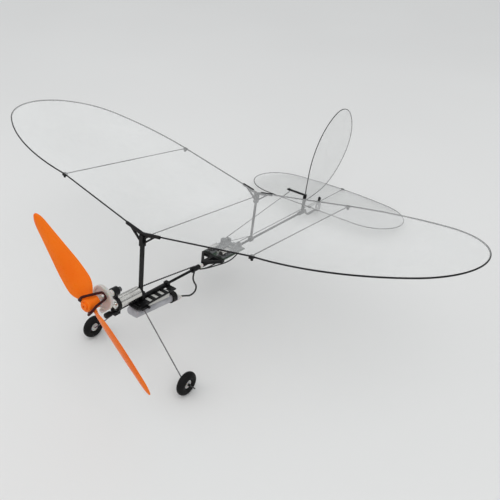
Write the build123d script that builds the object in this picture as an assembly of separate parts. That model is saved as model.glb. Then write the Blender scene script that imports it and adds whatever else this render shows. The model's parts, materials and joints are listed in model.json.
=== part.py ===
"""Indoor film-covered model aeroplane on a carbon boom, with a geared electric motor.

Everything is drawn in the airframe's own axes: X forward along the boom, Y to port, Z up, with
the boom's axis at Z = 0 under the wing's leading edge. At the end the whole model is tilted onto
its wheels and tail skid, and moved so that the origin is the middle of its footprint.
"""

from build123d import *
import os
from math import asin, atan2, cos, degrees, hypot, pi, radians, sin, tan

# ---------------------------------------------------------------- driving dimensions (mm, degrees)
CHORD = 130.0               # wing chord at the root
LEADING_Z = 47.9            # leading edge above the boom
TRAILING_Z = 42.6           # trailing edge above the boom
DIHEDRAL = 10.8
RIB_V = 80.5                # side ribs, measured along the panel
RIB_SETBACK = 3.1           # leading edge at the side rib, behind the root's
TIP_HEADING = 81.0          # where the bent tip rod points as it leaves the side rib
TIP_ARCS = [(125.0, 41.0), (54.2, 128.0), (222.0, 20.0)]
ROD_R = 0.5                 # wing rods
FINE_ROD_R = 0.4            # tail rods
RIB_R = 0.35
FILM = 0.05

BOOM_R = 1.0
BOOM_NOSE, BOOM_TAIL = 28.6, -222.0
STRUT_X, STRUT_Y = 2.8, 1.6
REAR_STRUT = 1.5
BRACKET_SPAN = 14.5
SLEEVE_R = 1.15
ROOT_RIB_DROP = 2.9         # the centre rib hangs below the film's crease

MODULE = 0.3
GEAR_TEETH, PINION_TEETH = 54, 9
MOTOR_Z = 5.5
MOTOR_R = 4.25
MOTOR_REAR, MOTOR_FRONT = 3.0, 23.0
PROP_Z = MOTOR_Z + MODULE * (GEAR_TEETH + PINION_TEETH) / 2
SHAFT_R = 0.75
GEAR_BACK, GEAR_WIDTH = 31.6, 1.8
FRAME_BACK, FRAME_FRONT = 21.4, 23.8
BUSH_R = 2.2

PROP_R = 65.0
PROP_X = 41.6
PROP_AZIMUTH = 141.0        # first blade at rest, from port towards up
# Each blade section: radius, chord, thickness, pitch angle.
BLADE = [(2.6, 7.0, 2.6, 40.0), (6.5, 11.0, 2.2, 35.0), (11.0, 16.0, 1.8, 29.5), (18.0, 17.6, 1.5, 25.5),
         (25.0, 17.0, 1.3, 23.5), (35.0, 14.8, 1.1, 20.5), (45.0, 12.3, 0.95, 18.0),
         (55.0, 9.6, 0.8, 15.5), (61.5, 6.9, 0.7, 14.0), (PROP_R, 2.2, 0.5, 13.5)]

AXLE_X, AXLE_Z, TRACK = 1.0, -46.4, 91.3
WHEEL_R, TYRE_R = 8.6, 2.9
HUB_R, HUB_WIDTH = 3.0, 3.0
WIRE_R = 0.4
LEG_BEND_Y = 43.4
LEG_TOP = {"left": (4.0, 6.2, -2.95), "right": (4.0, 2.9, -1.2)}      # measured outboard
AXLE_END_Y = 53.3
RUN = 0.05                  # radial running clearance

TRAY_TOP, TRAY_THICK = -0.9, 1.0
TRAY_X = (-27.3, 10.2)
TRAY_Y = (-1.7, 7.6)
WINDOW_X = (7.2, -4.0, -9.9, -15.8, -21.7)      # middles of the tray's windows
WINDOW_HALF = 1.8
BATTERY_X = (-30.4, 8.4)
BATTERY_Y = (-3.6, 7.0)
BATTERY_Z = (-10.6, -4.5)
BATTERY_ROUND = 2.9                 # its long edges
BATTERY_TILT = Rot(0, -5, 0)        # its rear hangs lower
BAND_X = (-30.2, -26.0)
BAND_THICK = 0.9

FIN_X = -217.5
FIN_BASE_Z, FIN_BLOCK_TOP = 10.9, 18.3
FIN_ARCS = [(59.4, 66.3), (30.8, 143.0), (67.1, 50.7), (307.0, 4.6)]
FIN_STRAIGHT_TOP = 36.9
RUDDER_ARM = 17.5
RUDDER_HORN_Z = 17.0

STAB_LE, STAB_Z = -230.6, 1.6
STAB_STRAIGHT = 47.7
STAB_ARCS = [(35.4, 169.6), (299.0, 10.4)]
ELEVATOR_X, ELEVATOR_Z = -250.9, -0.6
ELEVATOR_ARM = 6.2
SKID_Z = -6.6               # underside of the tail bracket's arm
SKID_X, SKID_TIP_Z, SKID_R = -251.8, -9.2, 0.8

BOARD_X, BOARD_Y, BOARD_Z = (-107.4, -79.4), (-10.4, 9.6), (2.4, 3.2)
SERVO_Y = {"rudder": -5.6, "elevator": 5.0}
SCREW_Z, SCREW_R = 6.2, 0.5
SLIDER_X = -98.0
PUSHROD_R, PUSHROD_Z = 0.3, 8.4

# Battery lead, from the sleeve on the boom to its connector: a list of points chosen by hand.
LEAD_R = 0.65
LEAD_ROUTE = [(-55.0, 0.9, -1.6), (-53.0, 1.5, -4.6), (-52.8, 2.6, -8.4), (-55.2, 4.0, -12.4),
              (-53.2, 4.8, -16.4), (-47.4, 5.0, -17.4), (-41.6, 5.0, -14.8), (-35.8, 5.0, -12.6)]
PLUG_X = (-35.8, -33.6, -31.2)      # lead's end, where the halves meet, battery's end
PLUG_Y, PLUG_Z = 5.0, -12.6
TAIL_R = 0.4

SIDES = ("left", "right")
parts = {}


# ---------------------------------------------------------------- small helpers
def bar(start, end, radius):
    """A round bar from one point to another."""
    start, end = Vector(*start), Vector(*end)
    along = end - start
    return Part() + Solid.make_cylinder(radius, along.length, Plane(origin=start, z_dir=along))


def block(low, high):
    """A box from its lowest and highest corners."""
    size = [b - a for a, b in zip(low, high)]
    return Pos(*low) * Box(*size, align=(Align.MIN, Align.MIN, Align.MIN))


def disc(x_from, x_to, radius, z=0.0, y=0.0):
    """A round solid along X."""
    return bar((x_from, y, z), (x_to, y, z), radius)


def arc_chain(start, heading, arcs):
    """Tangent arcs in the XY plane, each a radius and a left turn in degrees."""
    edges = []
    point = Vector(*start)
    tangent = Vector(cos(radians(heading)), sin(radians(heading)))
    for radius, turn in arcs:
        arc = JernArc(start=point, tangent=tangent, radius=radius, arc_size=turn)
        edges.append(arc.edge())
        point, tangent = arc @ 1, arc % 1
    return edges


def swept(edges, radius):
    """A round rod along a chain of edges."""
    path = Wire(edges)
    return sweep(Plane(origin=path @ 0, z_dir=path % 0) * Circle(radius), path=path)


def port_and_starboard(shape):
    """The port shape and its mirror image."""
    return {"left": shape, "right": mirror(shape, about=Plane.XZ)}


def cut(shape, *tools):
    """The shape less every tool."""
    for tool in tools:
        shape = shape - tool
    return shape


def largest(shape):
    """The biggest solid of a shape, without the slivers that a cut leaves at its edge."""
    return max(shape.solids(), key=lambda solid: solid.volume)


# ---------------------------------------------------------------- wing
INCIDENCE = degrees(atan2(LEADING_Z - TRAILING_Z, CHORD))
PANEL = Pos(0, 0, LEADING_Z) * Rot(0, -INCIDENCE, 0) * Rot(DIHEDRAL, 0, 0)
ROOT_GAP = 0.12             # keeps the two films apart at the crease
JOINT = 0.3                 # half the gap between two rods inside a clip

rib_leading = Vector(-RIB_SETBACK, RIB_V)
tip_edges = arc_chain(rib_leading, TIP_HEADING, TIP_ARCS)
rib_trailing = tip_edges[-1] @ 1


def make_wing():
    leading = bar((0, JOINT, 0), (-RIB_SETBACK, RIB_V - JOINT, 0), ROD_R)
    trailing = bar((-CHORD, JOINT, 0), (rib_trailing.X, rib_trailing.Y - JOINT, 0), ROD_R)
    tip = swept(tip_edges, ROD_R)
    rib = bar((-RIB_SETBACK - 1.0, RIB_V, 0), (rib_trailing.X + 1.0, RIB_V, 0), RIB_R)
    outline = [Edge.make_line((0, ROOT_GAP), rib_leading), *tip_edges,
               Edge.make_line(rib_trailing, (-CHORD, ROOT_GAP)),
               Edge.make_line((-CHORD, ROOT_GAP), (0, ROOT_GAP))]
    film = Pos(0, 0, ROD_R) * extrude(make_face(Wire(outline)), FILM)
    clips = []
    for centre, reach in ((rib_leading, -1.0), (rib_trailing, 1.0)):
        clip = Pos(centre.X + 0.5 * reach, centre.Y, -0.5) * Box(2.6, 2.6, 1.9)
        peg = Pos(centre.X + 0.6 * reach, centre.Y, -1.9) * Cylinder(0.8, 1.6)
        clips.append(cut(clip + peg, leading, trailing, tip, rib))
    film = largest(cut(film, *clips))
    return {"spars": [leading, trailing], "tip": tip, "rib": rib, "film": film, "clips": clips}


wing = make_wing()
panels = {key: port_and_starboard(PANEL * (Compound(item) if isinstance(item, list) else item))
          for key, item in wing.items()}


def both(key):
    return [panels[key][side] for side in SIDES]


root_rib = bar((-1.9, 0, LEADING_Z - ROOT_RIB_DROP), (1.9 - CHORD, 0, TRAILING_Z - ROOT_RIB_DROP), RIB_R)


def wing_bracket(x, z, strut, sleeve_from, inward):
    """A moulded Y piece: sleeves on both spars, pierced webs, and sockets for the strut and the rib."""
    reach = Vector(0, BRACKET_SPAN * cos(radians(DIHEDRAL)), BRACKET_SPAN * sin(radians(DIHEDRAL)))
    body = block((x - 1.7, -1.5, z - 8.6), (x + 1.7, 1.5, z - 0.6))
    body += Pos(x + 2.4 * inward, 0, z - ROOT_RIB_DROP) * Box(3.0, 2.0, 2.0)
    web_plane = Plane(origin=(x, 0, z), x_dir=(0, 1, 0), z_dir=(1, 0, 0))
    for side in (1, -1):
        corners = [Vector(0, 0), Vector(side * reach.Y * 0.85, reach.Z * 0.85), Vector(0, -8.0)]
        middle = (corners[0] + corners[1] + corners[2]) / 3
        hole = [middle + (corner - middle) * 0.42 for corner in corners]
        web = make_face(Wire.make_polygon(corners, close=True))
        web -= make_face(Wire.make_polygon(hole, close=True))
        body += extrude(web_plane * web, 0.55, both=True)
        tip = Vector(x, side * reach.Y, z + reach.Z)
        body += bar(Vector(x, 0, z) + (tip - Vector(x, 0, z)) * sleeve_from, tip, SLEEVE_R)
    return cut(body, strut, root_rib, *both("spars"))


def make_struts():
    """Front strut from the tray's socket, and rear strut with its own foot on the boom."""
    front = block((-STRUT_X / 2, -STRUT_Y / 2, BOOM_R + 0.4), (STRUT_X / 2, STRUT_Y / 2, LEADING_Z - 2.0))
    half = REAR_STRUT / 2
    rear = block((-CHORD - half, -half, 0), (-CHORD + half, half, TRAILING_Z - 2.0))
    rear += block((-CHORD - 2.2, -1.5, -1.4), (-CHORD + 2.2, 1.5, 2.0))
    return front, cut(rear, disc(BOOM_TAIL, 0, BOOM_R))


# ---------------------------------------------------------------- boom and nose
def make_boom():
    return disc(BOOM_TAIL, BOOM_NOSE, BOOM_R) - disc(BOOM_TAIL, BOOM_NOSE, BOOM_R * 0.55)


def make_nose_cap():
    cap = disc(BOOM_NOSE - 2.0, BOOM_NOSE + 2.2, 1.9)
    cap = fillet(cap.edges().sort_by(Axis.X)[-1], 0.8)
    return cap - disc(BOOM_NOSE - 2.0, BOOM_NOSE, BOOM_R)


def make_gearbox_frame():
    """A motor ring and a bearing ring in one plate, with a foot clamped round the boom."""
    front = FRAME_FRONT
    frame = disc(FRAME_BACK, front, MOTOR_R + 1.1, MOTOR_Z)
    frame += disc(FRAME_BACK - 0.4, front + 1.4, BUSH_R + 0.8, PROP_Z)
    frame += block((FRAME_BACK, -1.3, MOTOR_Z + MOTOR_R - 0.4), (front, 1.3, PROP_Z))
    frame += block((FRAME_BACK - 1.6, -2.1, -2.1), (front + 0.6, 2.1, 0.9))
    return cut(frame, disc(FRAME_BACK - 2, front + 2, MOTOR_R, MOTOR_Z),
               disc(FRAME_BACK - 1, front + 3, BUSH_R, PROP_Z), disc(0, BOOM_NOSE, BOOM_R))


def make_bush():
    bush = disc(FRAME_BACK - 0.8, FRAME_FRONT + 3.4, BUSH_R, PROP_Z)
    return bush - disc(FRAME_BACK - 2, FRAME_FRONT + 4, SHAFT_R + RUN, PROP_Z)


def toothed_disc(teeth, x_from, width, z, phase):
    """A spur gear along X, with straight-sided teeth a little thinner than their gaps."""
    pitch_r = MODULE * teeth / 2
    root_r, tip_r = pitch_r - 1.2 * MODULE, pitch_r + 0.95 * MODULE
    step = 2 * pi / teeth
    corners = []
    for tooth in range(teeth):
        for radius, share in ((root_r, -0.27), (tip_r, -0.11), (tip_r, 0.11), (root_r, 0.27)):
            angle = (tooth + phase + share) * step
            corners.append((radius * cos(angle), radius * sin(angle)))
    outline = make_face(Wire.make_polygon(corners, close=True))
    return extrude(Plane(origin=(x_from, 0, z), x_dir=(0, 1, 0), z_dir=(1, 0, 0)) * outline, width)


def make_drive_gear():
    """The large gear: a toothed rim on a thin web, with a hub."""
    down = -pi / 2 / (2 * pi / GEAR_TEETH)          # a tooth points straight down at the pinion
    gear = toothed_disc(GEAR_TEETH, GEAR_BACK, GEAR_WIDTH, PROP_Z, down)
    gear -= disc(GEAR_BACK + 1.1, GEAR_BACK + GEAR_WIDTH, 6.9, PROP_Z)
    gear += disc(GEAR_BACK - 1.4, GEAR_BACK + GEAR_WIDTH + 0.4, 2.0, PROP_Z)
    return gear - disc(0, 60, SHAFT_R, PROP_Z)


def make_motor():
    """Can, rear cap with two terminals, and the rotor shaft that carries the pinion."""
    can = disc(MOTOR_REAR, MOTOR_FRONT, MOTOR_R, MOTOR_Z)
    can -= disc(MOTOR_REAR, MOTOR_FRONT - 0.6, MOTOR_R - 0.4, MOTOR_Z)
    can -= disc(MOTOR_FRONT - 1, MOTOR_FRONT, 1.6, MOTOR_Z)
    can = can + (disc(MOTOR_FRONT - 0.6, MOTOR_FRONT + 0.8, 1.6, MOTOR_Z)
                 - disc(MOTOR_FRONT - 1, MOTOR_FRONT + 1, 0.5 + RUN, MOTOR_Z))
    cap = disc(MOTOR_REAR - 0.8, MOTOR_REAR + 1.5, MOTOR_R - 0.4, MOTOR_Z)
    for y in (-2.2, 2.2):
        cap += block((MOTOR_REAR - 2.2, y - 0.7, MOTOR_Z + 0.6), (MOTOR_REAR, y + 0.7, MOTOR_Z + 1.0))
    return can, cap


def make_pinion():
    up = pi / 2 / (2 * pi / PINION_TEETH) + 0.5     # a gap points straight up at the gear
    pinion = toothed_disc(PINION_TEETH, GEAR_BACK - 0.8, 3.4, MOTOR_Z, up)
    return pinion + disc(MOTOR_REAR + 3, GEAR_BACK + 3.0, 0.5, MOTOR_Z)


# ---------------------------------------------------------------- propeller, in its own turned frame
PROP = Pos(0, 0, PROP_Z) * Rot(PROP_AZIMUTH, 0, 0)   # local +Y is the first blade
HUB_BACK, HUB_FRONT = 38.2, 46.6
PEG_X, PEG_REACH, BAND_R = 36.0, 5.9, 0.8


def blade_section(radius, chord, thick, twist):
    """A thin cambered section with sharp edges; its bulging side faces forward."""
    across = (sin(radians(twist)), 0, cos(radians(twist)))
    plane = Plane(origin=(PROP_X, radius, 0), x_dir=across, z_dir=(0, 1, 0))
    camber = 0.06 * chord
    front = ThreePointArc((-chord / 2, 0), (0, camber + thick / 2), (chord / 2, 0))
    back = ThreePointArc((chord / 2, 0), (0, camber - thick / 2), (-chord / 2, 0))
    return plane * make_face(Wire([front.edge(), back.edge()]))


def make_blade():
    return loft([blade_section(*row) for row in BLADE])


def make_propeller():
    blade = make_blade()
    hub = disc(HUB_BACK, HUB_FRONT, 4.2)
    hub = fillet(hub.edges().sort_by(Axis.X)[-1], 1.0)
    hub += disc(HUB_FRONT - 1, HUB_FRONT + 0.9, 2.4)
    prop = hub + blade + Rot(180, 0, 0) * blade
    return cut(prop, disc(0, 45.0, SHAFT_R), disc(44.0, 50.0, 0.8))


def make_adapter():
    """White hub behind the propeller, with a peg each side for the band."""
    adapter = disc(GEAR_BACK + GEAR_WIDTH + 0.4, HUB_BACK, 2.4)
    adapter += bar((PEG_X, 0, -PEG_REACH), (PEG_X, 0, PEG_REACH), 0.8)
    return adapter - disc(0, 60, SHAFT_R)


def make_band():
    """The rubber ring: round the back of each peg, forward, and round the hub in front of the blades."""
    back = PEG_X - 0.8 - BAND_R
    front = HUB_FRONT - 0.4
    above = [(back, 0, 5.0), (back, 2.2, 5.0), (front - 2.8, 4.0, 5.0), (front, 5.4, 2.0)]
    below = [(x, y, -z) for x, y, z in reversed(above)]
    path = FilletPolyline(*above, *below, radius=1.2)
    half = sweep(Plane(origin=path @ 0, z_dir=path % 0) * Circle(BAND_R), path=path.wire())
    return half + mirror(half, about=Plane.XZ)


def make_prop_shaft():
    shaft = disc(FRAME_BACK - 3.0, 44.0, SHAFT_R, PROP_Z)
    return shaft + disc(FRAME_BACK - 3.0, FRAME_BACK - 1.2, 1.7, PROP_Z)


# ---------------------------------------------------------------- landing gear
def make_leg(side):
    """One steel wire: top end in the mount, down to the wheel, and out as its axle."""
    bend = Vector(AXLE_X, LEG_BEND_Y, AXLE_Z)
    top = Vector(*LEG_TOP[side])
    start = top + (top - bend).normalized()
    path = FilletPolyline(start, bend, (AXLE_X, AXLE_END_Y, AXLE_Z), radius=1.0)
    leg = sweep(Plane(origin=path @ 0, z_dir=path % 0) * Circle(WIRE_R), path=path.wire())
    return leg if side == "left" else mirror(leg, about=Plane.XZ)


def wheel_plane(side):
    return Plane(origin=(AXLE_X, TRACK / 2 if side == "left" else -TRACK / 2, AXLE_Z), z_dir=(0, 1, 0))


def make_tyre(side):
    """A fat soft tyre, slightly flat on its tread, on a rim groove."""
    ring = Torus(WHEEL_R - TYRE_R, TYRE_R) - Cylinder(HUB_R, 10)
    return wheel_plane(side).location * ring


def make_hub(side):
    hub = Cylinder(HUB_R, HUB_WIDTH)
    for end in (1, -1):
        dish = Pos(0, 0, end * HUB_WIDTH / 2) * (Cylinder(HUB_R - 0.6, 1.6) - Cylinder(1.2, 1.6))
        hub -= dish
    return wheel_plane(side).location * (hub - Cylinder(WIRE_R + RUN, 10))


def make_collar(side):
    """A stop pushed on the axle outside the wheel; the wire's bend is the inner stop."""
    sign = 1 if side == "left" else -1
    face = TRACK / 2 + HUB_WIDTH / 2 + 0.25
    collar = bar((AXLE_X, sign * face, AXLE_Z), (AXLE_X, sign * (face + 1.75), AXLE_Z), 0.9)
    return collar - legs[side]


# ---------------------------------------------------------------- battery bay
def make_tray():
    """A ladder plate beside the boom, with the front strut's socket and the clamps on the boom."""
    low, high = TRAY_TOP - TRAY_THICK, TRAY_TOP
    tray = block((TRAY_X[0], TRAY_Y[0], low), (TRAY_X[1], TRAY_Y[1], high))
    for centre in WINDOW_X:
        tray -= block((centre - WINDOW_HALF, 1.1, low - 1), (centre + WINDOW_HALF, TRAY_Y[1] - 1.0, high + 1))
    tray += block((TRAY_X[0], -1.7, high), (TRAY_X[1], -0.5, 0.4))
    tray += block((-2.4, -1.8, high), (1.9, 1.8, 4.6))
    tray += block((-1.4, 0.6, low - 1.4), (1.4, 2.9, 4.6))
    tray += block((TRAY_X[0], -1.8, high), (TRAY_X[0] + 3.0, 1.8, 1.7))
    return cut(tray, disc(-60, 20, BOOM_R), front_strut)


def make_gear_mount():
    """The block under the tray that both gear wires are glued into."""
    low = TRAY_TOP - TRAY_THICK - 1.75
    mount = block((1.6, -4.8, low), (6.4, TRAY_Y[1] + 1.0, TRAY_TOP - TRAY_THICK))
    mount += block((1.6, -4.8, low), (6.4, -1.85, 0.6))
    mount += bar((1.0, TRAY_Y[1] - 1.0, -2.95), (1.0, TRAY_Y[1] + 2.0, -2.95), 0.95)
    for side, sign in zip(SIDES, (1, -1)):
        x, y, z = LEG_TOP[side]
        top, bend = Vector(x, sign * y, z), Vector(AXLE_X, sign * LEG_BEND_Y, AXLE_Z)
        end = top + (top - bend).normalized()
        mount -= bar(end, end + (bend - end).normalized() * 12.0, WIRE_R)
    return mount


def rounded_box(low, high, side_radius, end_radius):
    """A box along X with rounded long edges and softer rounded ends."""
    body = block(low, high)
    body = fillet(body.edges().filter_by(Axis.X), side_radius)
    ends = body.faces().sort_by(Axis.X)
    return fillet(ends[0].edges() + ends[-1].edges(), end_radius)


def battery_shell(grow, x_from, x_to):
    low = (x_from, BATTERY_Y[0] - grow, BATTERY_Z[0] - grow)
    high = (x_to, BATTERY_Y[1] + grow, BATTERY_Z[1] + grow)
    return fillet(block(low, high).edges().filter_by(Axis.X), BATTERY_ROUND + grow)


def make_battery():
    low, high = zip(BATTERY_X, BATTERY_Y, BATTERY_Z)
    return BATTERY_TILT * rounded_box(low, high, BATTERY_ROUND, 1.2)


def make_battery_band():
    inside = battery_shell(0.0, BAND_X[0] - 1, BAND_X[1] + 1)
    return BATTERY_TILT * (battery_shell(BAND_THICK, *BAND_X) - inside)


def make_battery_pad():
    pad = block((-22.0, -1.0, BATTERY_Z[1] - 3), (-2.4, 6.2, TRAY_TOP - TRAY_THICK))
    return pad - BATTERY_TILT * block((-40, -10, BATTERY_Z[1] - 10), (20, 20, BATTERY_Z[1]))


def make_connectors():
    """Two mated micro connector halves, and the short tail from the battery to its half."""
    lead_end, meeting, battery_end = PLUG_X
    battery_half = block((meeting, PLUG_Y - 1.7, PLUG_Z - 1.1), (battery_end, PLUG_Y + 1.7, PLUG_Z + 1.1))
    lead_half = block((lead_end, PLUG_Y - 1.3, PLUG_Z - 0.9), (meeting, PLUG_Y + 1.3, PLUG_Z + 0.9))
    tail = []
    for y in (PLUG_Y - 0.9, PLUG_Y + 0.1):
        tail.append(bar((battery_end + 2.5, y, PLUG_Z + 0.9), (battery_end, y, PLUG_Z + 0.4), TAIL_R))
    return battery_half, lead_half, tail


def corner_radii(route):
    """The largest arc that each corner's two runs allow."""
    points = [Vector(*p) for p in route]
    radii = []
    for before, corner, after in zip(points, points[1:], points[2:]):
        turn = (corner - before).get_angle(after - corner)
        shorter = min((corner - before).length, (after - corner).length)
        radii.append(0.45 * shorter / tan(radians(turn / 2)))
    return radii


def make_lead():
    path = FilletPolyline(*LEAD_ROUTE, radius=corner_radii(LEAD_ROUTE))
    print("battery lead length", round(path.length, 2))
    return sweep(Plane(origin=path @ 0, z_dir=path % 0) * Circle(LEAD_R), path=path.wire())


def make_motor_lead():
    """A twisted pair from the motor's terminals, straight back to the sleeve on the boom."""
    route = [(MOTOR_REAR - 2.2, -2.2, 6.8), (-5.0, -2.3, 6.3), (-29.0, -1.6, 4.4), (-57.0, -0.6, 1.9)]
    path = FilletPolyline(*route, radius=4.0)
    return sweep(Plane(origin=path @ 0, z_dir=path % 0) * Circle(0.55), path=path.wire())


def make_lead_sleeve():
    sleeve = disc(-61.0, -53.0, 2.0)
    return cut(sleeve, disc(-70, -40, BOOM_R), motor_lead, lead)


# ---------------------------------------------------------------- receiver and servos
def make_servo_mount():
    """A sleeve on the boom, a forked front arm and a rail that carry the board."""
    mount = disc(-74.0, -65.0, 1.9)
    outline = [(-65.4, -1.6), (-65.4, 1.6), (-77.0, BOARD_Y[1]), (-80.2, BOARD_Y[1]), (-80.2, BOARD_Y[0]),
               (-77.0, BOARD_Y[0])]
    fork = make_face(Wire.make_polygon(outline, close=True))
    for side in (1, -1):
        slot = [(-68.8, side * 1.2), (-76.4, side * 7.6), (-76.4, side * 1.2)]
        fork -= make_face(Wire.make_polygon(slot, close=True))
    mount += Pos(0, 0, BOARD_Z[0] - 1.6) * extrude(fork, BOARD_Z[1] - BOARD_Z[0] + 1.6)
    mount += block((-106.0, -1.7, -1.5), (-73.0, 1.7, BOARD_Z[0]))
    board_space = block((BOARD_X[0], BOARD_Y[0], BOARD_Z[0]), (BOARD_X[1], BOARD_Y[1], BOARD_Z[1]))
    return cut(mount, disc(-120, -50, BOOM_R), board_space)


def make_servo(y):
    """Frame with two bearings, a small motor and the screw that drives the slider."""
    top = BOARD_Z[1] + 1.0
    frame = block((-106.0, y - 3.6, BOARD_Z[1]), (-80.0, y + 3.6, top))
    for back in (-106.0, -91.0):
        frame += block((back, y - 2.0, top), (back + 1.2, y + 2.0, SCREW_Z + 1.2))
    frame += block((-85.4, y - 2.6, top), (-84.0, y + 2.6, SCREW_Z))
    motor = disc(-89.4, -80.8, 2.0, SCREW_Z, y)
    screw = disc(-105.7, -89.9, SCREW_R, SCREW_Z, y)
    return cut(frame, motor, disc(-107, -89.5, SCREW_R + RUN, SCREW_Z, y)), motor, screw


def make_slider(y, rod):
    slider = block((SLIDER_X - 1.6, y - 1.8, BOARD_Z[1] + 1.4), (SLIDER_X + 1.6, y + 1.8, PUSHROD_Z + 0.8))
    return cut(slider, disc(-110, -80, SCREW_R + RUN, SCREW_Z, y), rod)


def make_pushrod(route, radius):
    path = FilletPolyline(*route, radius=radius)
    return sweep(Plane(origin=path @ 0, z_dir=path % 0) * Circle(PUSHROD_R), path=path.wire())


# ---------------------------------------------------------------- tail
def make_tail_bracket():
    """Boom end fitting: rudder post, and a low arm back to the elevator's pivot, which is the skid."""
    side = [(-249.4, SKID_Z), (-229.5, SKID_Z), (-223.0, -1.8), (-211.5, -1.8), (-211.5, 1.8),
            (-222.5, 1.8), (-224.0, -0.4), (-228.8, SKID_Z + 1.4), (-249.4, SKID_Z + 1.4)]
    profile = make_face(Wire.make_polygon([(x, 0, z) for x, z in side], close=True))
    arm = extrude(profile, 0.9, both=True)
    sleeve = disc(-222.4, -211.5, 1.9)
    post = bar((FIN_X, 0, 0), (FIN_X, 0, FIN_BASE_Z - 0.3), 1.5)
    fork = block((ELEVATOR_X - 1.6, -2.2, SKID_Z), (ELEVATOR_X + 1.6, 2.2, SKID_Z + 2.2))
    for low in (-2.2, 1.1):
        fork += block((ELEVATOR_X - 1.3, low, SKID_Z + 1), (ELEVATOR_X + 1.3, low + 1.1, ELEVATOR_Z))
        fork += bar((ELEVATOR_X, low, ELEVATOR_Z), (ELEVATOR_X, low + 1.1, ELEVATOR_Z), 1.3)
    heel = bar((SKID_X, 0, SKID_TIP_Z + SKID_R), (SKID_X, 0, SKID_Z + 1), SKID_R)
    heel += Pos(SKID_X, 0, SKID_TIP_Z + SKID_R) * Sphere(SKID_R)
    return cut(arm + sleeve + post + fork + heel, boom, disc(BOOM_TAIL, BOOM_TAIL + 20, BOOM_R), *tail_pins)


def make_tail_pins():
    """The rudder's upright pin and the elevator's cross pin, both fixed in the bracket."""
    rudder = bar((FIN_X, 0, 3.0), (FIN_X, 0, FIN_BLOCK_TOP - 0.8), 0.4)
    elevator = bar((ELEVATOR_X, -2.6, ELEVATOR_Z), (ELEVATOR_X, 2.6, ELEVATOR_Z), 0.4)
    return [rudder, elevator]


FIN_PLANE = Plane(origin=(0, 0, 0), x_dir=(1, 0, 0), z_dir=(0, -1, 0))   # local Y is up


def fin_edges():
    start = (FIN_X, FIN_BLOCK_TOP - 0.4)
    straight = Edge.make_line(start, (FIN_X, FIN_STRAIGHT_TOP))
    return [straight, *arc_chain((FIN_X, FIN_STRAIGHT_TOP), 90.0, FIN_ARCS)]


def make_fin():
    """A bent rod loop with film on its port side, on a base block that turns on the pin."""
    edges = fin_edges()
    loop = FIN_PLANE.location * swept(edges, FINE_ROD_R)
    closing = Edge.make_line(edges[-1] @ 1, edges[0] @ 0)
    film = FIN_PLANE.location * extrude(make_face(Wire([*edges, closing])), FILM)
    film = Pos(0, FINE_ROD_R + FILM, 0) * film
    base = bar((FIN_X, 0, FIN_BASE_Z), (FIN_X, 0, FIN_BLOCK_TOP), 1.7)
    base += block((FIN_X - 1.1, -RUDDER_ARM - 2.2, RUDDER_HORN_Z), (FIN_X + 1.1, 0, FIN_BLOCK_TOP))
    slot = Pos(FIN_X, -RUDDER_ARM - 0.3, RUDDER_HORN_Z) * Box(1.0, 2.0, 6)
    base = cut(base, loop, slot, bar((FIN_X, 0, 0), (FIN_X, 0, FIN_BLOCK_TOP - 0.6), 0.4 + RUN))
    return loop, largest(cut(film, base)), base


def make_stabiliser():
    """A bent rod loop and its centre rib, film on top, and the clips and horn at the centre."""
    half = [Edge.make_line((STAB_LE, 0), (STAB_LE, STAB_STRAIGHT)),
            *arc_chain((STAB_LE, STAB_STRAIGHT), 90.0, STAB_ARCS)]
    half_rod = swept(half, FINE_ROD_R)
    tail = half[-1] @ 1
    outline = make_face(Wire([*half, Edge.make_line(tail, (STAB_LE, 0))]))
    loop = Pos(0, 0, STAB_Z) * (half_rod + mirror(half_rod, about=Plane.XZ))
    film = extrude(outline, FILM)
    film += mirror(film, about=Plane.XZ) + block((tail.X, -0.5, 0), (STAB_LE, 0.5, FILM))
    film = Pos(0, 0, STAB_Z + FINE_ROD_R) * film
    rib = bar((STAB_LE - 0.5, 0, STAB_Z), (tail.X + 0.5, 0, STAB_Z), RIB_R)
    clips = []
    for x in (STAB_LE - 0.3, tail.X + 0.3):
        clips.append(cut(Pos(x, 0, STAB_Z + 0.1) * Box(2.2, 3.0, 1.2), loop, rib))
    horn = block((ELEVATOR_X - 1.2, -0.8, ELEVATOR_Z), (ELEVATOR_X + 1.2, 0.8, ELEVATOR_Z + ELEVATOR_ARM))
    for z, r in ((ELEVATOR_Z, 1.6), (ELEVATOR_Z + ELEVATOR_ARM, 1.5)):
        horn += bar((ELEVATOR_X, -0.8, z), (ELEVATOR_X, 0.8, z), r)
    horn = cut(horn, rib, bar((ELEVATOR_X, -3, ELEVATOR_Z), (ELEVATOR_X, 3, ELEVATOR_Z), 0.4 + RUN),
               bar((ELEVATOR_X, -3, ELEVATOR_Z + ELEVATOR_ARM), (ELEVATOR_X, 3, ELEVATOR_Z + ELEVATOR_ARM), 0.55))
    return [loop, rib], cut(film, horn, *clips), clips, horn


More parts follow.
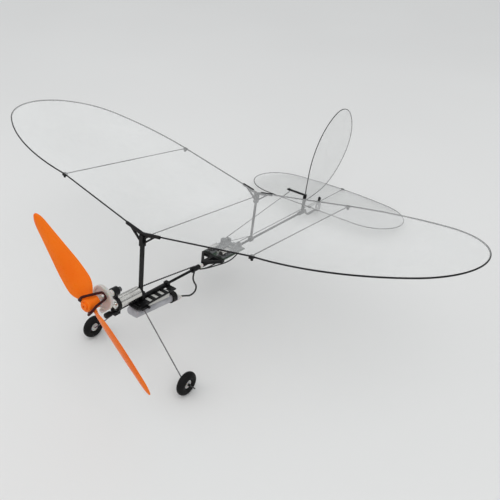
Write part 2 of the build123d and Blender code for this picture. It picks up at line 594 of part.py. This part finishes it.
# ---------------------------------------------------------------- assembly
boom = make_boom()
front_strut, rear_strut = make_struts()
legs = {side: make_leg(side) for side in SIDES}
motor_lead = make_motor_lead()
lead = make_lead()
tail_pins = make_tail_pins()
motor_can, motor_cap = make_motor()
battery_half, lead_half, battery_tail = make_connectors()
front_bracket = wing_bracket(0, LEADING_Z, front_strut, 0.0, -1)
rear_bracket = wing_bracket(-CHORD, TRAILING_Z, rear_strut, 0.28, 1)
fin_loop, fin_film, rudder_horn = make_fin()
stab_rods, stab_film, stab_clips, elevator_horn = make_stabiliser()
servos = {name: make_servo(y) for name, y in SERVO_Y.items()}
rudder_rod = make_pushrod([(SLIDER_X, SERVO_Y["rudder"], PUSHROD_Z), (FIN_X, -RUDDER_ARM, RUDDER_HORN_Z - 1.6),
                           (FIN_X, -RUDDER_ARM, FIN_BLOCK_TOP + 1.4)], 0.9)
eye_z = ELEVATOR_Z + ELEVATOR_ARM - 0.15        # sits low in its hole at rest, so it clears when the horn tips
elevator_rod = make_pushrod([(SLIDER_X, SERVO_Y["elevator"], PUSHROD_Z), (ELEVATOR_X, 2.0, eye_z),
                             (ELEVATOR_X, -1.6, eye_z)], 0.7)

parts["boom"] = boom
parts["nose_cap"] = make_nose_cap()
parts["gearbox_frame"] = make_gearbox_frame()
parts["shaft_bush"] = make_bush()
parts["motor_can"] = motor_can
parts["motor_end_cap"] = cut(motor_cap, motor_can)
parts["motor_lead"] = cut(motor_lead, motor_cap)
parts["front_wing_bracket"] = front_bracket
parts["front_wing_strut"] = front_strut
parts["rear_wing_bracket"] = rear_bracket
parts["rear_wing_strut"] = rear_strut
parts["wing_ribs"] = [root_rib, *both("rib")]
parts["rib_clips"] = both("clips")
for side in SIDES:
    parts[f"wing_spars_{side}"] = panels["spars"][side]
    parts[f"wing_tip_rod_{side}"] = panels["tip"][side]
    parts[f"wing_film_{side}"] = cut(panels["film"][side], front_bracket, rear_bracket)
    parts[f"gear_leg_{side}"] = legs[side]
    parts[f"tyre_{side}"] = make_tyre(side)
    parts[f"wheel_hub_{side}"] = make_hub(side)
parts["axle_collars"] = [make_collar(side) for side in SIDES]
parts["battery_tray"] = make_tray()
parts["gear_mount"] = make_gear_mount()
parts["battery"] = make_battery()
parts["battery_band"] = make_battery_band()
parts["battery_pad"] = make_battery_pad()
parts["battery_tail"] = [cut(wire, parts["battery"], battery_half) for wire in battery_tail]
parts["battery_connector"] = battery_half
parts["lead_connector"] = cut(lead_half, lead)
parts["battery_lead"] = lead
parts["lead_sleeve"] = make_lead_sleeve()
parts["servo_mount"] = make_servo_mount()
parts["receiver_board"] = block((BOARD_X[0], BOARD_Y[0], BOARD_Z[0]), (BOARD_X[1], BOARD_Y[1], BOARD_Z[1]))
parts["servo_frames"] = [frame for frame, motor, screw in servos.values()]
parts["servo_motors"] = [motor for frame, motor, screw in servos.values()]
parts["servo_screws"] = [screw for frame, motor, screw in servos.values()]
for name, rod in (("rudder", rudder_rod), ("elevator", elevator_rod)):
    parts[f"{name}_slider"] = make_slider(SERVO_Y[name], rod)
    parts[f"{name}_pushrod"] = rod
parts["tail_bracket"] = make_tail_bracket()
parts["tail_pins"] = tail_pins
parts["fin_loop"] = fin_loop
parts["fin_film"] = fin_film
parts["rudder_horn"] = rudder_horn
parts["stabiliser_rods"] = stab_rods
parts["stabiliser_film"] = stab_film
parts["stabiliser_clips"] = stab_clips
parts["elevator_horn"] = elevator_horn
parts["propeller"] = PROP * make_propeller()
parts["prop_adapter"] = PROP * make_adapter()
parts["rubber_band"] = PROP * make_band()
parts["prop_shaft"] = make_prop_shaft()
parts["drive_gear"] = make_drive_gear()
parts["motor_pinion"] = make_pinion()

# Standing on its wheels and on the round tip of its tail skid.
run, drop = AXLE_X - SKID_X, SKID_TIP_Z + SKID_R - AXLE_Z
PITCH = degrees(atan2(drop, run) + asin((WHEEL_R - SKID_R) / hypot(run, drop)))
TILT = Rot(0, -PITCH, 0)
whole = {name: TILT * (Compound(item) if isinstance(item, list) else item)
         for name, item in parts.items()}
boxes = [shape.bounding_box() for shape in whole.values()]
low = [min(getattr(box.min, axis) for box in boxes) for axis in "XYZ"]
high = [max(getattr(box.max, axis) for box in boxes) for axis in "XYZ"]
SHIFT = Pos(-(low[0] + high[0]) / 2, -(low[1] + high[1]) / 2, -low[2])
print("pitch", round(PITCH, 4), "shift", [round(v, 4) for v in SHIFT.position], "low", low, "high", high)

os.makedirs("parts", exist_ok=True)
for name, shape in whole.items():
    export_step(SHIFT * shape, f"parts/{name}.step")
print(len(whole), "nodes")
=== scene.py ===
"""Looks for the indoor model aeroplane: camera, light, materials, and finer leads, wires and chips."""

import json
import math

import bmesh
import bpy
from mathutils import Matrix, Vector


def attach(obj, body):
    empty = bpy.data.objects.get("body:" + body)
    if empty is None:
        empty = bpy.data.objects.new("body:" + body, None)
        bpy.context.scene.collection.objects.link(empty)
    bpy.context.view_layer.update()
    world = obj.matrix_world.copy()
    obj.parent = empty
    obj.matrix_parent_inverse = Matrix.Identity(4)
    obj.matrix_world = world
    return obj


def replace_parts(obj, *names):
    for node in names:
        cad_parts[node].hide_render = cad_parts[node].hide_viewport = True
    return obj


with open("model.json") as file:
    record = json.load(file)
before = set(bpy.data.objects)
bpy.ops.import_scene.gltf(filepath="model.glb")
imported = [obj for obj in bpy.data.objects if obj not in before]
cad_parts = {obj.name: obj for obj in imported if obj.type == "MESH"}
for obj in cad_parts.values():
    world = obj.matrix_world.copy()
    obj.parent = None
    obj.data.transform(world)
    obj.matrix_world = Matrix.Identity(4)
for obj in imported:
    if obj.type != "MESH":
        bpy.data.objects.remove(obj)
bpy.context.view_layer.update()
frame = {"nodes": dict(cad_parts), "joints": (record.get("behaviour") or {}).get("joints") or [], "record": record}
NODES = frame["nodes"]
JOINTS = {joint["name"]: joint for joint in frame["joints"]}

# The airframe's own axes, as they stand in the frame: forward along the boom, to port, and up.
FORWARD = Vector(JOINTS["prop_spin"]["axis"])
PORT = Vector((0, 1, 0))
UP = FORWARD.cross(PORT)
# The airframe's origin is on the boom's axis under the wing's leading edge; the propeller's axis is above it.
PROP_HEIGHT = 0.01495
PROP_JOINT_FORWARD = 0.030
ORIGIN = Vector(JOINTS["prop_spin"]["pos_m"]) - PROP_JOINT_FORWARD * FORWARD - PROP_HEIGHT * UP
MM = 0.001
# Most values of a noise texture lie between these two.
NOISE_LOW, NOISE_HIGH = 0.3, 0.7


def place(x, y, z):
    """A point given in millimetres in the airframe's axes, as a point of the frame."""
    return ORIGIN + MM * (x * FORWARD + y * PORT + z * UP)


# ---------------------------------------------------------------- camera
# The camera's place, the way it looks, and the way down in its picture, in the airframe's axes.
CAMERA_AT = place(228.6, 219.4, 206.8)
LOOK = (-0.7586, -0.4625, -0.4589)
IMAGE_DOWN = (0.3162, 0.3545, -0.8800)
LENS = 39.72


def in_frame(direction):
    """A direction given in the airframe's axes, as a unit direction of the frame."""
    x, y, z = direction
    return (x * FORWARD + y * PORT + z * UP).normalized()


def make_camera():
    data = bpy.data.cameras.new("camera")
    data.lens = LENS
    data.sensor_width = 36.0
    data.clip_start = 0.01
    data.clip_end = 20.0
    camera = bpy.data.objects.new("camera", data)
    bpy.context.scene.collection.objects.link(camera)
    back = -in_frame(LOOK)
    up = -in_frame(IMAGE_DOWN)
    right = up.cross(back).normalized()
    up = back.cross(right)
    camera.matrix_world = Matrix.Translation(CAMERA_AT) @ Matrix((right, up, back)).transposed().to_4x4()
    bpy.context.scene.camera = camera


make_camera()


# ---------------------------------------------------------------- materials
class Shader:
    """A principled material whose noise drives colour, roughness and bump."""

    def __init__(self, name, **constants):
        self.material = bpy.data.materials.new(name)
        self.material.use_nodes = True
        self.tree = self.material.node_tree
        self.shader = self.tree.nodes["Principled BSDF"]
        for socket, value in constants.items():
            self.shader.inputs[socket.replace("_", " ")].default_value = value
        self.position = self.tree.nodes.new("ShaderNodeNewGeometry").outputs["Position"]
        self.height = None

    def node(self, kind, **sockets):
        made = self.tree.nodes.new(kind)
        for socket, value in sockets.items():
            target = made.inputs[socket]
            if isinstance(value, bpy.types.NodeSocket):
                self.tree.links.new(value, target)
            else:
                target.default_value = value
        return made

    def stretched(self, scale):
        """Position scaled apart along each axis, for grain that runs one way."""
        mapping = self.node("ShaderNodeMapping", Vector=self.position)
        mapping.inputs["Scale"].default_value = scale
        return mapping.outputs["Vector"]

    def noise(self, scale, detail=4.0, vector=None):
        return self.node("ShaderNodeTexNoise", Vector=vector or self.position, Scale=scale,
                         Detail=detail).outputs["Fac"]

    def ramp(self, factor, *stops):
        made = self.node("ShaderNodeValToRGB", Fac=factor)
        elements = made.color_ramp.elements
        while len(elements) < len(stops):
            elements.new(0.5)
        for element, (position, colour) in zip(elements, stops):
            element.position = position
            element.color = (*colour, 1.0)
        return made.outputs["Color"]

    def remap(self, factor, low, high):
        """A noise's own range spread from low to high."""
        made = self.node("ShaderNodeMapRange", Value=factor)
        made.inputs["From Min"].default_value = NOISE_LOW
        made.inputs["From Max"].default_value = NOISE_HIGH
        made.inputs["To Min"].default_value = low
        made.inputs["To Max"].default_value = high
        return made.outputs["Result"]

    def colour(self, socket):
        self.tree.links.new(socket, self.shader.inputs["Base Color"])

    def roughness(self, socket):
        self.tree.links.new(socket, self.shader.inputs["Roughness"])

    def bump(self, height, distance, strength=1.0):
        made = self.node("ShaderNodeBump", Height=height)
        made.inputs["Distance"].default_value = distance
        made.inputs["Strength"].default_value = strength
        if self.height:
            self.tree.links.new(self.height, made.inputs["Normal"])
        self.height = made.outputs["Normal"]
        self.tree.links.new(self.height, self.shader.inputs["Normal"])


def mottled(name, dark, light, rough, grain, depth, scale=90.0, **constants):
    """Colour and gloss that vary softly, over a fine grain."""
    made = Shader(name, **constants)
    broad = made.noise(scale)
    fine = made.noise(grain, 3.0)
    made.colour(made.ramp(broad, (NOISE_LOW, dark), (NOISE_HIGH, light)))
    made.roughness(made.remap(fine, *rough))
    made.bump(fine, depth)
    return made.material


def carbon_rod():
    """Drawn carbon: dark, with long fine streaks."""
    made = Shader("carbon_rod", Specular_IOR_Level=0.2)
    streaks = made.noise(900.0, 5.0, made.stretched((1.0, 0.15, 1.0)))
    broad = made.noise(60.0)
    made.colour(made.ramp(broad, (0.3, (0.003, 0.003, 0.0035)), (0.75, (0.010, 0.010, 0.011))))
    made.roughness(made.remap(streaks, 0.32, 0.5))
    made.bump(streaks, 0.00003)
    return made.material


def clear_film():
    """Thin clear film: mostly see-through, a little milky, with faint wrinkles and a soft shine."""
    made = Shader("clear_film", IOR=1.45, Roughness=0.18, Specular_IOR_Level=0.35)
    broad = made.noise(14.0, 3.0)
    wrinkles = made.noise(55.0, 4.0, made.stretched((1.0, 0.35, 1.0)))
    made.colour(made.ramp(broad, (0.3, (0.80, 0.81, 0.80)), (0.7, (0.90, 0.905, 0.90))))
    made.tree.links.new(made.remap(broad, 0.18, 0.28), made.shader.inputs["Alpha"])
    made.bump(wrinkles, 0.0004, 0.5)
    made.material.surface_render_method = "BLENDED"
    return made.material


def orange_plastic():
    """Glossy moulded nylon, a little translucent, with flow marks."""
    made = Shader("orange_plastic", Specular_IOR_Level=0.1, Subsurface_Weight=0.15, Subsurface_Scale=0.003)
    broad = made.noise(45.0, 3.0)
    fine = made.noise(700.0, 3.0)
    made.colour(made.ramp(broad, (0.25, (0.90, 0.150, 0.006)), (0.75, (0.98, 0.21, 0.012))))
    made.roughness(made.remap(fine, 0.24, 0.38))
    made.bump(fine, 0.00003)
    return made.material


def brushed(name, dark, light, rough):
    """Bright drawn metal with fine lines round it."""
    made = Shader(name, Metallic=1.0)
    lines = made.noise(2600.0, 4.0, made.stretched((1.0, 0.2, 0.2)))
    broad = made.noise(120.0)
    made.colour(made.ramp(broad, (NOISE_LOW, dark), (NOISE_HIGH, light)))
    made.roughness(made.remap(lines, *rough))
    made.bump(lines, 0.00002)
    return made.material


def circuit_board():
    """Dark green solder mask with paler tracks."""
    made = Shader("circuit_board", Coat_Weight=0.4, Coat_Roughness=0.2)
    tracks = made.node("ShaderNodeTexVoronoi", Vector=made.position, Scale=700.0).outputs["Distance"]
    broad = made.noise(200.0)
    made.colour(made.ramp(tracks, (0.25, (0.012, 0.03, 0.018)), (0.6, (0.035, 0.075, 0.04))))
    made.roughness(made.remap(broad, 0.3, 0.5))
    made.bump(tracks, 0.00004)
    return made.material


def tyre_rubber():
    """Matt black foam rubber with fine pores."""
    made = Shader("tyre_rubber", Specular_IOR_Level=0.2)
    pores = made.noise(2500.0, 3.0)
    broad = made.noise(220.0)
    made.colour(made.ramp(broad, (0.3, (0.003, 0.003, 0.003)), (0.7, (0.007, 0.007, 0.0073))))
    made.roughness(made.remap(pores, 0.55, 0.8))
    made.bump(pores, 0.00008)
    return made.material


def battery_pouch():
    """Satin foil pouch with soft creases, and painted shade that darkens their hollows."""
    made = Shader("battery_pouch", Metallic=0.6)
    creases_and_shade = made.noise(160.0, 3.0, made.stretched((0.4, 1.0, 1.0)))
    fine = made.noise(1500.0)
    # Painted shade: the colour darkens where the crease noise sinks the surface and lightens on the crests.
    made.colour(made.ramp(creases_and_shade, (0.3, (0.30, 0.30, 0.32)), (0.7, (0.52, 0.52, 0.55))))
    made.roughness(made.remap(fine, 0.34, 0.5))
    made.bump(creases_and_shade, 0.0003, 0.6)
    return made.material


MATERIALS = {
    "carbon_rod": carbon_rod(),
    "black_plastic": mottled("black_plastic", (0.003, 0.003, 0.0033), (0.008, 0.008, 0.0085),
                             (0.34, 0.5), 1800.0, 0.00004, Specular_IOR_Level=0.22),
    "clear_film": clear_film(),
    "orange_plastic": orange_plastic(),
    "white_plastic": mottled("white_plastic", (0.62, 0.60, 0.58), (0.76, 0.75, 0.72),
                             (0.3, 0.45), 1500.0, 0.00003, Subsurface_Weight=0.25, Subsurface_Scale=0.002),
    "grey_plastic": mottled("grey_plastic", (0.10, 0.105, 0.11), (0.20, 0.205, 0.21),
                            (0.35, 0.55), 1500.0, 0.00004),
    "motor_steel": brushed("motor_steel", (0.60, 0.59, 0.56), (0.80, 0.79, 0.76), (0.12, 0.24)),
    "steel_wire": brushed("steel_wire", (0.13, 0.13, 0.135), (0.24, 0.24, 0.245), (0.3, 0.5)),
    "brass": brushed("brass", (0.62, 0.42, 0.16), (0.78, 0.56, 0.25), (0.22, 0.38)),
    "tyre": tyre_rubber(),
    "band_rubber": mottled("band_rubber", (0.030, 0.002, 0.002), (0.060, 0.005, 0.004),
                           (0.45, 0.62), 1500.0, 0.00004, Specular_IOR_Level=0.2),
    "battery_pouch": battery_pouch(),
    "foam_pad": mottled("foam_pad", (0.55, 0.55, 0.52), (0.68, 0.68, 0.65), (0.7, 0.9),
                        1800.0, 0.0001),
    "circuit_board": circuit_board(),
    "lead_insulation": mottled("lead_insulation", (0.010, 0.010, 0.010), (0.024, 0.024, 0.025), (0.35, 0.5),
                               1200.0, 0.00003),
}


def dress(item, material):
    item.data.materials.clear()
    item.data.materials.append(material)


def dress_frame():
    """Each CAD node takes the material of its slot in the record."""
    for entry in frame["record"]["subparts"]:
        dress(NODES[entry["node"]], MATERIALS[entry["material_slot"]])


dress_frame()


# ---------------------------------------------------------------- battery lead
LEAD_ROUTE = [(-55.0, 0.9, -1.6), (-53.0, 1.5, -4.6), (-52.8, 2.6, -8.4), (-55.2, 4.0, -12.4),
              (-53.2, 4.8, -16.4), (-47.4, 5.0, -17.4), (-41.6, 5.0, -14.8), (-35.8, 5.0, -12.6)]
LEAD_RADIUS = 0.65 * MM
CORD_BEVEL_STEPS = 4
CORD_SPAN_STEPS = 10


def spline_object(name, points, radius):
    """A round cord on a smooth curve that has these points as its control points."""
    data = bpy.data.curves.new(name, "CURVE")
    data.dimensions = "3D"
    data.bevel_depth = radius
    data.bevel_resolution = CORD_BEVEL_STEPS
    data.resolution_u = CORD_SPAN_STEPS
    data.use_fill_caps = True
    spline = data.splines.new("NURBS")
    spline.points.add(len(points) - 1)
    for target, point in zip(spline.points, points):
        target.co = (*point, 1.0)
    spline.order_u = 3
    spline.use_endpoint_u = True
    made = bpy.data.objects.new(name, data)
    bpy.context.scene.collection.objects.link(made)
    return made


def make_battery_lead():
    route = [place(*point) for point in LEAD_ROUTE]
    lead = spline_object("battery_lead_cord", route, LEAD_RADIUS)
    dress(lead, MATERIALS["lead_insulation"])
    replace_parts(lead, "battery_lead")
    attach(lead, "airframe")


make_battery_lead()


# ---------------------------------------------------------------- fine pieces on the airframe
MOTOR_LEAD_ROUTE = [(0.8, -2.2, 6.8), (-5.0, -2.3, 6.3), (-29.0, -1.6, 4.4), (-57.0, -0.6, 1.9)]
STRAND_RADIUS, STRAND_OFFSET, TWIST = 0.30 * MM, 0.27 * MM, 3.6 * MM
STRAND_STEPS, WIRE_STEPS = 110, 12
WIRE_SIDES, RING_SIDES = 8, 32
CHIP_EDGE = 0.12
# From here down to the end of the tables, places and sizes are in millimetres in the airframe's axes.
RING_PROFILE = [(-64.6, 1.04), (-64.6, 1.75), (-64.3, 1.85), (-61.7, 1.85), (-61.4, 1.75), (-61.4, 1.04)]
BOARD_TOP, BOARD_BOTTOM = 3.2, 2.4
# Each chip: x and y of its middle, its length, width and height, and what it is made of.
CHIPS_ABOVE = [
    (-96.0, -0.3, 2.8, 2.6, 0.8, "black_plastic"),
    (-91.6, -0.3, 2.6, 1.8, 0.7, "black_plastic"),
    (-87.4, -0.9, 1.6, 0.8, 0.6, "foam_pad"),
    (-87.4, 0.5, 1.6, 0.8, 0.6, "foam_pad"),
    (-84.4, -0.3, 1.2, 2.4, 0.9, "motor_steel"),
    (-100.6, -0.3, 1.0, 2.0, 0.6, "foam_pad"),
    (-103.4, -0.3, 2.0, 1.2, 0.7, "motor_steel"),
]
CHIPS_BELOW = [
    (-98.0, 5.4, 4.4, 4.4, 0.9),
    (-88.0, -6.0, 5.0, 4.0, 0.9),
    (-96.0, -6.0, 2.4, 3.0, 0.8),
    (-86.0, 6.0, 2.0, 2.6, 0.8),
]
SERVO_Y = (-5.6, 5.0)
SERVO_TERMINAL_OFFSET, SERVO_WIRE_RADIUS = 0.8, 0.22
# The two wires of a servo draw together on the way down, to this share of their first distance.
SERVO_WIRE_PINCH = 0.8
# Each wire: its name, its radius, and its route.
WIRES = [
    ("receiver_wire_port", 0.5, [(-61.0, 1.2, -1.6), (-66.0, 2.6, -2.6), (-76.0, 4.6, -3.0),
                                 (-86.0, 8.6, -2.0), (-95.0, 9.6, 0.4), (-101.0, 8.6, BOARD_BOTTOM - 0.3)]),
    ("receiver_wire_inner", 0.45, [(-61.0, 0.2, -2.0), (-67.0, 2.2, -3.0), (-78.0, 3.0, -2.6),
                                   (-88.0, 4.4, -0.6), (-92.0, 5.0, BOARD_BOTTOM - 0.3)]),
    ("receiver_aerial", 0.2, [(-107.0, -6.0, 2.9), (-112.0, -6.4, 2.6), (-122.0, -5.0, 1.4),
                              (-132.0, -4.4, 0.6)]),
]


def on_airframe(name, body, material):
    """A finished mesh, in metres in the frame, as a piece that moves with the airframe."""
    data = bpy.data.meshes.new(name)
    body.to_mesh(data)
    body.free()
    made = bpy.data.objects.new(name, data)
    bpy.context.scene.collection.objects.link(made)
    dress(made, MATERIALS[material])
    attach(made, "airframe")
    return made


def chip(name, centre, size, material):
    """A small block with soft edges; its centre and size are in the airframe's axes."""
    body = bmesh.new()
    bmesh.ops.create_cube(body, size=1.0)
    bmesh.ops.scale(body, vec=Vector(size) * MM, verts=body.verts)
    bmesh.ops.bevel(body, geom=body.edges, offset=CHIP_EDGE * min(size) * MM, segments=2, affect="EDGES")
    turn = Matrix((FORWARD, PORT, UP)).transposed().to_4x4()
    bmesh.ops.transform(body, matrix=Matrix.Translation(place(*centre)) @ turn, verts=body.verts)
    return on_airframe(name, body, material)


def circle_angles(sides):
    return [2 * math.pi * side / sides for side in range(sides)]


def square_to(path, index):
    """Two directions square to a path at one of its points, and to each other."""
    ahead = path[min(index + 1, len(path) - 1)] - path[max(index - 1, 0)]
    across = ahead.cross(UP).normalized()
    return across, across.cross(ahead).normalized()


def tube_mesh(body, path, radius):
    """A closed round tube along a list of points."""
    rings = []
    for index, point in enumerate(path):
        across, over = square_to(path, index)
        rings.append([body.verts.new(point + radius * (math.cos(a) * across + math.sin(a) * over))
                      for a in circle_angles(WIRE_SIDES)])
    for here, there in zip(rings, rings[1:]):
        for side in range(WIRE_SIDES):
            after = (side + 1) % WIRE_SIDES
            face = body.faces.new((here[side], here[after], there[after], there[side]))
            face.smooth = True
    body.faces.new(rings[0])
    body.faces.new(list(reversed(rings[-1])))


def spline_points(route, steps):
    """Points read from the smooth spline that has the route as its control points."""
    guide = spline_object("guide", [place(*point) for point in route], 0.0)
    guide.data.resolution_u = steps
    mesh = bpy.data.meshes.new_from_object(guide)
    points = [vertex.co.copy() for vertex in mesh.vertices]
    bpy.data.objects.remove(guide)
    bpy.data.meshes.remove(mesh)
    return points


def make_motor_lead():
    """Two insulated strands twisted round each other, from the motor's terminals to the sleeve."""
    middle = spline_points(MOTOR_LEAD_ROUTE, STRAND_STEPS)
    body = bmesh.new()
    for start in (0.0, math.pi):
        strand, travelled = [], 0.0
        for index, point in enumerate(middle):
            across, over = square_to(middle, index)
            travelled += (point - middle[max(index - 1, 0)]).length
            angle = start + 2 * math.pi * travelled / TWIST
            strand.append(point + STRAND_OFFSET * (math.cos(angle) * across + math.sin(angle) * over))
        tube_mesh(body, strand, STRAND_RADIUS)
    bmesh.ops.recalc_face_normals(body, faces=body.faces)
    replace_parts(on_airframe("motor_lead_pair", body, "lead_insulation"), "motor_lead")


def make_wire(name, radius, route):
    """A thin insulated wire on a smooth route."""
    body = bmesh.new()
    tube_mesh(body, spline_points(route, WIRE_STEPS), radius * MM)
    bmesh.ops.recalc_face_normals(body, faces=body.faces)
    on_airframe(name, body, "lead_insulation")


def make_boom_ring():
    """A short pale ring of tubing on the boom, behind the lead sleeve."""
    body = bmesh.new()
    rows = []
    for x, radius in RING_PROFILE:
        rows.append([body.verts.new(place(x, radius * math.cos(a), radius * math.sin(a)))
                     for a in circle_angles(RING_SIDES)])
    for row, following in zip(rows, rows[1:] + rows[:1]):
        for side in range(RING_SIDES):
            after = (side + 1) % RING_SIDES
            body.faces.new((row[side], row[after], following[after], following[side]))
    bmesh.ops.recalc_face_normals(body, faces=body.faces)
    on_airframe("boom_ring", body, "white_plastic")


def make_chips():
    """Chips on both faces of the receiver board."""
    for index, (x, y, long, wide, high, material) in enumerate(CHIPS_ABOVE):
        chip(f"receiver_chip_{index}", (x, y, BOARD_TOP + high / 2), (long, wide, high), material)
    for index, (x, y, long, wide, high) in enumerate(CHIPS_BELOW):
        chip(f"receiver_under_{index}", (x, y, BOARD_BOTTOM - high / 2), (long, wide, high), "black_plastic")


def make_wires():
    """Two wires from each servo motor down to the board, then the receiver's own wires."""
    for index, y in enumerate(SERVO_Y):
        for end, offset in (("in", -SERVO_TERMINAL_OFFSET), ("out", SERVO_TERMINAL_OFFSET)):
            low = y + SERVO_WIRE_PINCH * offset
            make_wire(f"servo_wire_{index}_{end}", SERVO_WIRE_RADIUS,
                      [(-80.9, y + offset, 6.6), (-79.6, y + offset, 6.9), (-78.9, low, 5.2),
                       (-79.8, low, BOARD_TOP + 0.2)])
    for name, radius, route in WIRES:
        make_wire(name, radius, route)


make_motor_lead()
make_boom_ring()
make_chips()
make_wires()


# ---------------------------------------------------------------- stage
FLOOR_SIZE, FLOOR_AT = 8.0, (-0.8, -0.8, 0.0)
SKY_STRENGTH = 0.6
# Each stop of the sky: how high it looks, from 0 at the horizon to 1 overhead, and its colour.
SKY_STOPS = [(0.1, (0.42, 0.43, 0.44, 1.0)), (0.6, (1.28, 1.30, 1.32, 1.0))]
LAMP_SIZE = 1.4
# Each lamp: its name, its place in metres, and its power in watts.
LAMPS = [("key", (0.5, 0.7, 1.5), 7.5), ("fill", (0.9, -0.9, 1.1), 3.0)]


def make_floor():
    """A pale paper floor."""
    bpy.ops.mesh.primitive_plane_add(size=FLOOR_SIZE, location=FLOOR_AT)
    floor = bpy.context.active_object
    floor.name = "floor"
    material = Shader("floor_paper")
    broad = material.noise(2.0, 2.0)
    material.colour(material.ramp(broad, (0.3, (0.77, 0.77, 0.76)), (0.7, (0.80, 0.80, 0.79))))
    material.roughness(material.remap(broad, 0.8, 0.95))
    dress(floor, material.material)


def make_sky():
    """Even grey light that grows brighter overhead."""
    world = bpy.data.worlds.new("studio")
    world.use_nodes = True
    tree = world.node_tree
    background = tree.nodes["Background"]
    background.inputs["Strength"].default_value = SKY_STRENGTH
    height = tree.nodes.new("ShaderNodeSeparateXYZ")
    look = tree.nodes.new("ShaderNodeTexCoord")
    sky = tree.nodes.new("ShaderNodeValToRGB")
    tree.links.new(look.outputs["Generated"], height.inputs["Vector"])
    tree.links.new(height.outputs["Z"], sky.inputs["Fac"])
    tree.links.new(sky.outputs["Color"], background.inputs["Color"])
    for element, (position, colour) in zip(sky.color_ramp.elements, SKY_STOPS):
        element.color = colour
        element.position = position
    bpy.context.scene.world = world


def make_lamps():
    """Two broad soft lamps that point at the object."""
    for name, position, power in LAMPS:
        data = bpy.data.lights.new(name, "AREA")
        data.size = LAMP_SIZE
        data.energy = power
        lamp = bpy.data.objects.new(name, data)
        lamp.location = position
        lamp.rotation_mode = "QUATERNION"
        lamp.rotation_quaternion = Vector(position).to_track_quat("Z", "Y")
        bpy.context.scene.collection.objects.link(lamp)


bpy.context.scene.view_settings.view_transform = "Standard"
make_floor()
make_sky()
make_lamps()
